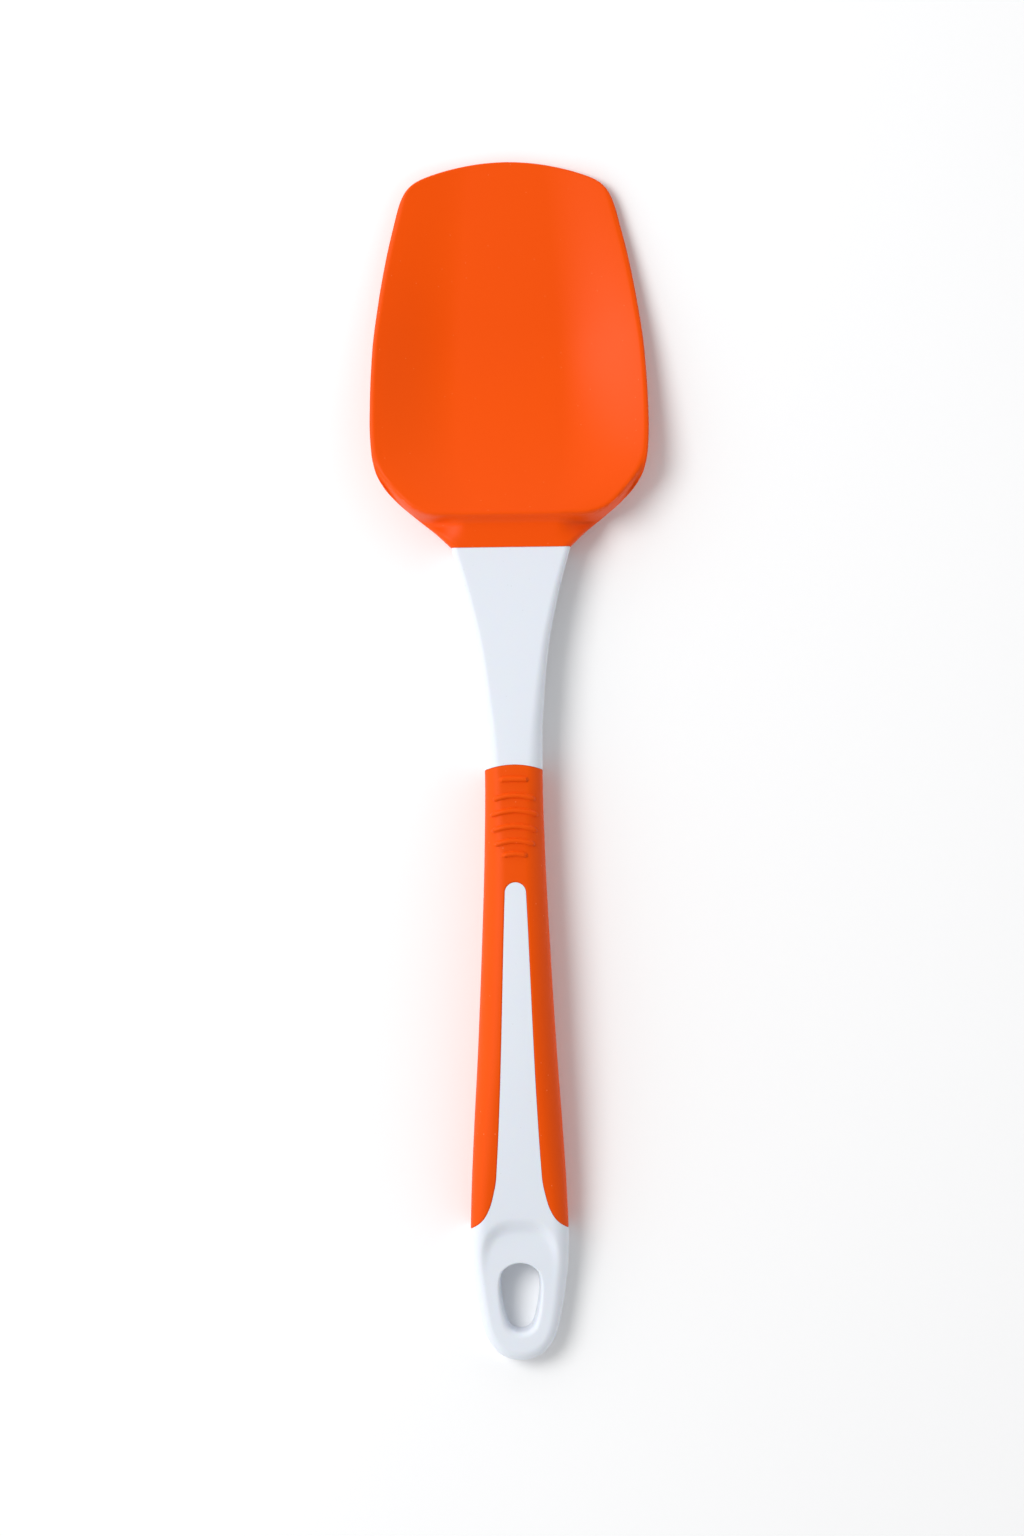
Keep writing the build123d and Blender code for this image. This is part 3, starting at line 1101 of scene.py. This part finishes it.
        def place(column: int, row: int) -> Vector:
            if row == 0:
                return at(0.0, JOINT, (OUTLINE.top(JOINT) + OUTLINE.underside(JOINT)) / 2)
            index = min(row, len(rings)) - 1
            station, grow, turn = rings[index]
            section = sections[index]
            side = 1.0 if column <= half else -1.0
            step = column if column <= half else 2 * half - column
            x, z = section.point(paths[index][step], grow)
            middle = (section.top + section.underside) / 2
            back = math.sin(turn)
            station -= x * back
            x *= math.cos(turn) * (1.0 - self.tail_slope * back * (1.0 - back))
            if z > middle and station < self.plate_end:
                z = self.plate_top(x, station, z)
            return at(side * x, station, z)

        piece = as_object(shaped_sphere(2 * half, len(rings) + 1, place, open_end=True), "handle_moulding")
        carve(piece, self._eye())
        carve(piece, recess)
        piece.data.set_sharp_from_angle(angle=SHARP)
        return piece

    def _egg(self, turn: float, offset: float) -> tuple[float, float]:
        """A point on the eye's outline, grown by an offset.

        Args:
            turn: direction of the outline's normal, from the tip's way round.
            offset: how far outside the outline the point lies.

        Returns:
            The point's x and station.
        """
        steepness = 0.75
        share = ease(0.5 + steepness * math.cos(turn))
        middle = blend(self.eye_narrow[0], self.eye_wide[0], share)
        radius = blend(self.eye_narrow[1], self.eye_wide[1], share) + offset
        return radius * math.sin(turn), middle + radius * math.cos(turn)

    def _eye(self) -> bpy.types.Object:
        """The cutter for the hanging eye, flared at both faces so that its edges come out rounded."""
        columns, spans = 112, 9
        arcs = [math.pi / 2 * step / spans for step in range(spans + 1)]
        rows = 2 * (len(arcs) + 1) + 1

        def place(column: int, row: int) -> Vector:
            turn = math.tau * column / columns
            if row in (0, rows):
                return at(0.0, self.eye_middle, self.cellar if row == 0 else self.ceiling)
            if row <= len(arcs) + 1:
                inward, height = self._eye_edge(arcs, row - 2, self.eye_edge, self.cellar)
                x, station = self._egg(turn, inward - self.eye_draft)
                return at(x, station, height)
            edge = blend(self.eye_edge, self.eye_foot_edge, ease(0.5 - 0.5 * math.cos(turn)))
            flare, depth = self._eye_edge(arcs, rows - 2 - row, edge, -self.clearance)
            x, station = self._egg(turn, flare)
            plate = self.plate_top(x, station, OUTLINE.top(max(station, self.tail_centre)))
            return at(x, station, plate - depth)

        return as_object(shaped_sphere(columns, rows, place), "eye_cutter")

    @staticmethod
    def _eye_edge(arcs: list[float], index: int, radius: float, beyond: float) -> tuple[float, float]:
        """Flare and depth of one ring of the eye's rounded edge.

        Args:
            arcs: the rounding's angles, from the face inwards.
            index: which of them, or -1 for the ring beyond the face.
            radius: the rounding's radius.
            beyond: depth of the ring beyond the face.

        Returns:
            How far the ring is grown, and its depth from the face.
        """
        if index < 0:
            return radius, beyond
        return radius * (1 - math.sin(arcs[index])), radius * (1 - math.cos(arcs[index]))


# ------------------------------------------------------------------------------------------------ grip

@dataclass(frozen=True)
class Grip:
    """The soft sleeve: front ring with thumb ribs, and two legs beside the white windows.

    Attributes:
        front: station of the front edge at its middle.
        arch: how far that edge falls back at the sides.
        arch_width: distance from the middle plane where it has fallen that far.
        arch_from: station where the rows start to bow into the arch.
        foot: station of the legs' rear ends.
        thickness: thickness of the sleeve.
        edge_radius: rounding of its edges.
        bed_allowance: how far the cutter for its bed stands off the handle's outline.
        window_top: station of the window's round top.
        window_radius: radius of that top.
        rib_stations: station of each thumb rib's middle.
        rib_lengths: length of each rib across the grip.
        rib_arches: how far each rib's ends fall back.
        rib_half_width: half the width of a rib.
        rib_height: height of a rib.
        rib_flatness: how flat its top is.
        rib_edge: how sharply its sides end.
        edge_spans: spans over each rounded edge.
        middle_spans: spans between them.
    """

    front: float = 139.0
    arch: float = 1.2
    arch_width: float = 6.7
    arch_from: float = 112.0
    foot: float = 31.0
    thickness: float = 1.7
    edge_radius: float = 0.3
    bed_allowance: float = 0.8
    window_top: float = 111.7
    window_radius: float = 2.45
    rib_stations: tuple[float, ...] = (135.6, 131.8, 128.3, 124.7, 121.3, 118.3)
    rib_lengths: tuple[float, ...] = (6.5, 9.6, 10.8, 10.3, 9.1, 5.6)
    rib_arches: tuple[float, ...] = (0.1, 0.9, 1.1, 1.1, 0.9, 0.4)
    rib_half_width: float = 0.62
    rib_height: float = 0.7
    rib_flatness: float = 3.0
    rib_edge: float = 0.7
    edge_spans: int = 4
    middle_spans: int = 52

    window = Profile(
        (31.0, 11.4), (31.5, 10.6), (32.3, 9.4), (33.7, 8.1), (36.0, 6.9), (38.5, 6.15), (43.0, 5.3),
        (109.25, 2.45),
    )

    def window_half(self, station: float) -> float:
        """Half the white window's width at a station, 0 past its round top."""
        shoulder = self.window_top - self.window_radius
        if station >= self.window_top:
            return 0.0
        if station > shoulder:
            return math.sqrt(self.window_radius ** 2 - (station - shoulder) ** 2)
        return self.window(station)

    def stations(self) -> list[float]:
        """The station of every row, bunched at the foot, the window's top, the ribs and the front edge."""
        flare_end, ribs_from, ribs_end = 44.0, 117.0, 137.0
        round_spans = 18
        shoulder = self.window_top - self.window_radius
        edge = rounding_steps(self.edge_radius, self.edge_spans)
        foot_edge = [self.foot + step for step in edge]
        front_edge = [self.front - step for step in reversed(edge)]
        turns = [math.pi / 2 * step / round_spans for step in range(1, round_spans + 1)]
        top = [shoulder + self.window_radius * math.sin(turn) for turn in turns]
        above = [self.window_top + step for step in (0.04, 0.1, 0.18, 0.3, 0.5, 0.8)]
        rows = foot_edge + spread(foot_edge[-1], flare_end, 0.3) + spread(flare_end, shoulder, 1.0)
        rows += top + above + spread(above[-1], ribs_from, 0.6) + spread(ribs_from, ribs_end, 0.17)
        return rows + spread(ribs_end, front_edge[0], 0.4) + front_edge[1:]

    def build(self) -> bpy.types.Object:
        """Model the sleeve with its ribs and rounded edges."""
        return as_object(self._sleeve(0.0, self.edge_radius, True), "grip_sleeve")

    def recess(self) -> bpy.types.Object:
        """The cutter for the sleeve's bed in the white spine: the same shape, taller and sharp-edged."""
        return as_object(self._sleeve(self.bed_allowance, 0.0, False), "grip_recess")

    def _sleeve(self, raised: float, rounding: float, ribbed: bool) -> bmesh.types.BMesh:
        """One side of the sleeve as a bent slab, mirrored and welded along the middle.

        Args:
            raised: how far its outside stands off the handle's outline.
            rounding: radius of the rounded edges of its outside.
            ribbed: whether the thumb ribs are on it.

        Returns:
            The closed sleeve.
        """
        stations = self.stations()
        sections = [OUTLINE.section(station) for station in stations]
        edges = rounding_steps(self.edge_radius, self.edge_spans)
        columns = 2 * self.edge_spans + self.middle_spans
        spans = []
        for station, section in zip(stations, sections):
            start = section.reach(min(self.window_half(station), section.half_width))
            spans.append((start, section.half_length() - start))

        def place(column: int, row: int, inner: bool) -> Vector:
            station, section = stations[row], sections[row]
            first, last = spans[row]
            if column <= self.edge_spans:
                distance = first + edges[column]
            elif column >= columns - self.edge_spans:
                distance = last - edges[columns - column]
            else:
                share = (column - self.edge_spans) / self.middle_spans
                distance = blend(first + edges[-1], last - edges[-1], share)
            grow = -self.thickness
            x, _ = section.point(distance)
            bow = self._bow(x, station)
            if not inner:
                from_edge = self._edge_distance(distance, first, last, station)
                grow = raised - edge_drop(from_edge, rounding)
                if ribbed and distance < section.half_length() / 2:
                    grow += self._rib(x, station - bow)
            x, z = section.point(distance, grow)
            return at(max(x, 0.0), station - bow, z)

        mesh = shaped_slab(columns, len(stations) - 1, place)
        seam = [face for face in mesh.faces if all(abs(vert.co.x) < TOUCHING for vert in face.verts)]
        bmesh.ops.delete(mesh, geom=seam, context="FACES")
        half = mesh.verts[:] + mesh.edges[:] + mesh.faces[:]
        bmesh.ops.mirror(mesh, geom=half, axis="X", merge_dist=TOUCHING)
        return mesh

    def _bow(self, x: float, station: float) -> float:
        """How far a row is bowed back at x, so that the last one follows the front edge's arch."""
        share = ease((station - self.arch_from) / (self.front - self.arch_from))
        return self.arch * share * min(x / self.arch_width, 1.0) ** 2

    def _edge_distance(self, distance: float, first: float, last: float, station: float) -> float:
        """How far a point of the sleeve is from its nearest edge.

        Args:
            distance: the point's path length round the section.
            first: path length at the front window's edge.
            last: path length at the back window's edge.
            station: the point's station.

        Returns:
            The distance, in millimetres.
        """
        step = 0.1
        shoulder = self.window_top - self.window_radius
        nearest = min(station - self.foot, self.front - station)
        inward = min(distance - first, last - distance)
        if station <= shoulder:
            slope = (self.window_half(station + step) - self.window_half(station - step)) / (2 * step)
            return min(nearest, inward / math.hypot(1.0, slope))
        across = inward + self.window_half(station)
        return min(nearest, math.hypot(across, station - shoulder) - self.window_radius)

    def _rib(self, x: float, station: float) -> float:
        """Height of the thumb ribs above the sleeve at a point."""
        height = 0.0
        for middle, length, arch in zip(self.rib_stations, self.rib_lengths, self.rib_arches):
            half = length / 2
            away = abs(station - (middle - arch * (x / half) ** 2))
            end = max(x - (half - self.rib_half_width), 0.0)
            reach = math.hypot(away, end) / self.rib_half_width
            if reach < 1.0:
                swell = (1.0 - reach ** self.rib_flatness) ** self.rib_edge
                height = max(height, self.rib_height * swell)
        return height


# ---------------------------------------------------------------------------------------------- studio

@dataclass(frozen=True)
class Studio:
    """Pale floor, round soft light from the upper left, surround that is brighter low down, and camera.

    Attributes:
        floor_size: side of the floor, in metres.
        floor_colour: its colour.
        floor_roughness: its roughness.
        floor_specular: strength of its mirror reflection.
        key_from: place of the round soft light, in metres.
        key_size: its diameter, in metres.
        key_power: its power, in watts.
        low_fill: strength of the surround near the horizon.
        high_fill: its strength overhead.
        fill_band: heights, as the z of a direction, between which it changes over.
        fill_lean: how much brighter it is on the soft light's side.
        fill_colour: its colour.
        camera_distance: how far the camera is above the tool, in metres.
        camera_height: height of the level that the distance is measured from, in metres.
        lens: focal length, in millimetres.
        sensor_height: height of the camera's sensor, in millimetres.
        roll_degrees: how far the camera is turned about its axis.
        aim: x and y that it looks down on, in metres.
    """

    floor_size: float = 6.0
    floor_colour: tuple[float, float, float] = (0.98, 0.98, 0.98)
    floor_roughness: float = 0.9
    floor_specular: float = 0.1
    key_from: tuple[float, float, float] = (-0.67, 0.26, 0.93)
    key_size: float = 0.66
    key_power: float = 8.5
    low_fill: float = 1.04
    high_fill: float = 0.14
    fill_band: tuple[float, float] = (0.50, 0.92)
    fill_lean: float = 0.25
    fill_colour: tuple[float, float, float] = (0.985, 0.99, 1.0)
    camera_distance: float = 1.1
    camera_height: float = 0.006
    lens: float = 110.6
    sensor_height: float = 36.0
    roll_degrees: float = 0.75
    aim: tuple[float, float] = (-0.0004, -0.0018)

    def build(self) -> None:
        """Make the floor, the lights and the camera."""
        self._floor()
        self._world()
        self._key()
        self._camera()
        bpy.context.scene.view_settings.view_transform = "Standard"

    def _floor(self) -> None:
        """A plain matte floor."""
        mesh = bmesh.new()
        bmesh.ops.create_grid(mesh, x_segments=2, y_segments=2, size=self.floor_size / 2)
        data = bpy.data.meshes.new("floor")
        mesh.to_mesh(data)
        mesh.free()
        floor = bpy.data.objects.new("floor", data)
        bpy.context.scene.collection.objects.link(floor)
        material = bpy.data.materials.new("pale_floor")
        material.use_nodes = True
        shader = material.node_tree.nodes["Principled BSDF"]
        shader.inputs["Base Color"].default_value = (*self.floor_colour, 1.0)
        shader.inputs["Roughness"].default_value = self.floor_roughness
        shader.inputs["Specular IOR Level"].default_value = self.floor_specular
        data.materials.append(material)

    def _world(self) -> None:
        """A slightly cool surround, brighter low down and on the soft light's side."""
        world = bpy.data.worlds.new("surround")
        bpy.context.scene.world = world
        world.use_nodes = True
        nodes, links = world.node_tree.nodes, world.node_tree.links
        background = nodes["Background"]
        background.inputs["Color"].default_value = (*self.fill_colour, 1.0)
        key_side = Vector((self.key_from[0], self.key_from[1], 0.0)).normalized()
        direction = nodes.new("ShaderNodeTexCoord").outputs["Generated"]
        heights = nodes.new("ShaderNodeSeparateXYZ")
        toward_key = nodes.new("ShaderNodeVectorMath")
        toward_key.operation = "DOT_PRODUCT"
        toward_key.inputs[1].default_value = key_side
        lean = nodes.new("ShaderNodeMath")
        lean.operation = "MULTIPLY_ADD"
        lean.inputs[1].default_value = self.fill_lean
        lean.inputs[2].default_value = 1.0
        strength = nodes.new("ShaderNodeMath")
        strength.operation = "MULTIPLY"
        band = nodes.new("ShaderNodeMapRange")
        band.interpolation_type = "SMOOTHSTEP"
        band.inputs["From Min"].default_value = self.fill_band[0]
        band.inputs["From Max"].default_value = self.fill_band[1]
        band.inputs["To Min"].default_value = self.low_fill
        band.inputs["To Max"].default_value = self.high_fill
        links.new(direction, heights.inputs["Vector"])
        links.new(direction, toward_key.inputs[0])
        links.new(heights.outputs["Z"], band.inputs["Value"])
        links.new(toward_key.outputs["Value"], lean.inputs[0])
        links.new(lean.outputs[0], strength.inputs[0])
        links.new(band.outputs["Result"], strength.inputs[1])
        links.new(strength.outputs[0], background.inputs["Strength"])

    def _key(self) -> None:
        """A round soft light that faces the middle of the tool."""
        light = bpy.data.lights.new("soft_box", "AREA")
        light.shape = "DISK"
        light.size = self.key_size
        light.energy = self.key_power
        lamp = bpy.data.objects.new("soft_box", light)
        lamp.location = self.key_from
        lamp.rotation_euler = (-Vector(self.key_from)).to_track_quat("-Z", "Y").to_euler()
        bpy.context.scene.collection.objects.link(lamp)

    def _camera(self) -> None:
        """A camera above the tool, with the scoop at the top of the frame."""
        data = bpy.data.cameras.new("camera")
        data.lens = self.lens
        data.sensor_fit = "VERTICAL"
        data.sensor_height = self.sensor_height
        camera = bpy.data.objects.new("camera", data)
        camera.location = (self.aim[0], self.aim[1], self.camera_height + self.camera_distance)
        camera.rotation_euler = (0.0, 0.0, math.radians(-self.roll_degrees))
        bpy.context.scene.collection.objects.link(camera)
        bpy.context.scene.camera = camera


# ------------------------------------------------------------------------------------------------ main

def seat(piece: bpy.types.Object, node: str, body: str, finish: Finish) -> None:
    """Dress a piece and tie it to the frame.

    Args:
        piece: the visible piece.
        node: the CAD node that it stands for.
        body: the body that it moves with.
        finish: what it is dressed in.
    """
    dress(piece, finish)
    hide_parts(node)
    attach(piece, body)
    LOG.info("%s: %d faces, rides on %s", piece.name, len(piece.data.polygons), body)


def main() -> None:
    """Build the spatula and its studio."""
    seat(ScoopHead().build(), "scoop_head", "scoop_head", Finish.SILICONE)
    grip = Grip()
    handle = Handle().build(grip.recess())
    seat(handle, "handle", "handle", Finish.HANDLE)
    seat(grip.build(), "grip", "handle", Finish.SOFT_TOUCH)
    dress(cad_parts["blade_core"], Finish.CORE)
    Studio().build()


if __name__ == "__main__":
    main()
